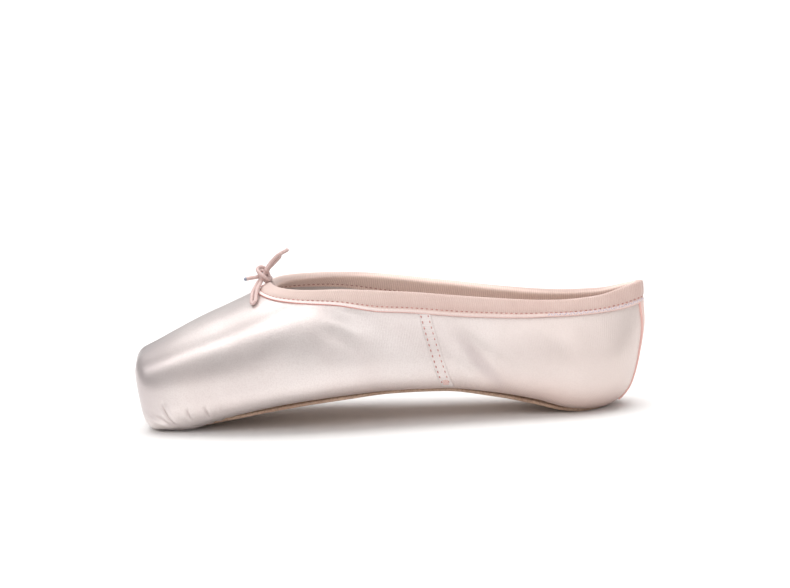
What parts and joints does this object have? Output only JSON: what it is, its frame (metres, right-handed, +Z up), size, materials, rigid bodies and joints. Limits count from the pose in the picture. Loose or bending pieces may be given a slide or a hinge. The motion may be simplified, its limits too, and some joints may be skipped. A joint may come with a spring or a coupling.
{
  "type": "pointe shoe",
  "caption": "Satin pointe shoe with a stiff flat-tipped box, a low bound collar with a drawstring bow at the throat and a narrow leather sole.",
  "frame": {"origin": "middle of the shoe's length and width, on the floor it stands on", "axes": "+X from toe to heel along the sole, +Y across the shoe to its far side in the picture, +Z up from the floor to the collar"},
  "size_m": [0.2407, 0.0746, 0.0823],
  "materials": {
    "satin": "pale pink satin with a soft sheen",
    "sole_leather": "matt brown leather",
    "lining": "matt cotton",
    "binding": "matt folded cotton tape",
    "cord": "round braided cotton"
  },
  "bodies": {
    "root": {"upper": "satin", "outsole": "sole_leather", "insole": "lining", "binding": "binding", "side_seam_near": "satin", "side_seam_far": "satin", "back_strip": "satin", "drawstring_knot": "cord", "drawstring_loop": "cord", "drawstring_end_short": "cord", "drawstring_end_long": "cord"}
  },
  "joints": []
}
